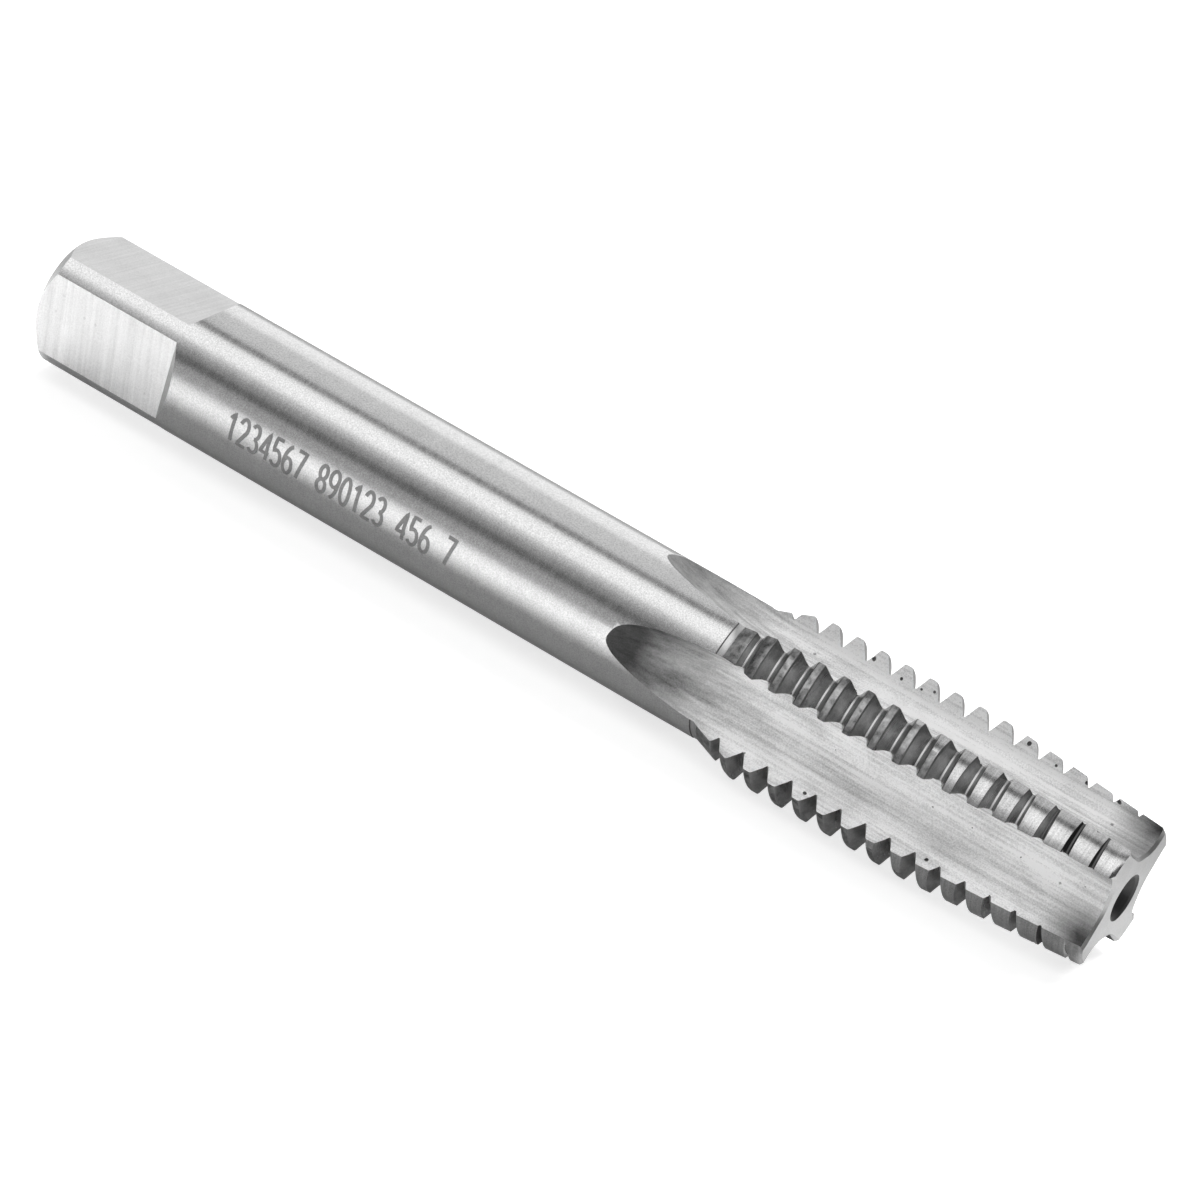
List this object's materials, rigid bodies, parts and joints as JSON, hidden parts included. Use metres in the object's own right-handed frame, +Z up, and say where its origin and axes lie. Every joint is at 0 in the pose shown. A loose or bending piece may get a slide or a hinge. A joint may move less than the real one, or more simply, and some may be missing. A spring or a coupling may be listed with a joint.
{
  "type": "thread tap",
  "caption": "Straight-fluted hand tap with a tapered lead, right-hand thread, round shank and square drive end.",
  "frame": {"origin": "under the middle of the tap's length, on the surface that its two lowest lands rest on", "axes": "+X along the tap's axis towards its cutting tip, +Z up, so the tap lies on two lands with a flute downwards"},
  "size_m": [0.0954, 0.0118, 0.0118],
  "materials": {
    "tool_steel": "ground tool steel, satin"
  },
  "bodies": {
    "root": {"tap": "tool_steel"}
  },
  "joints": []
}
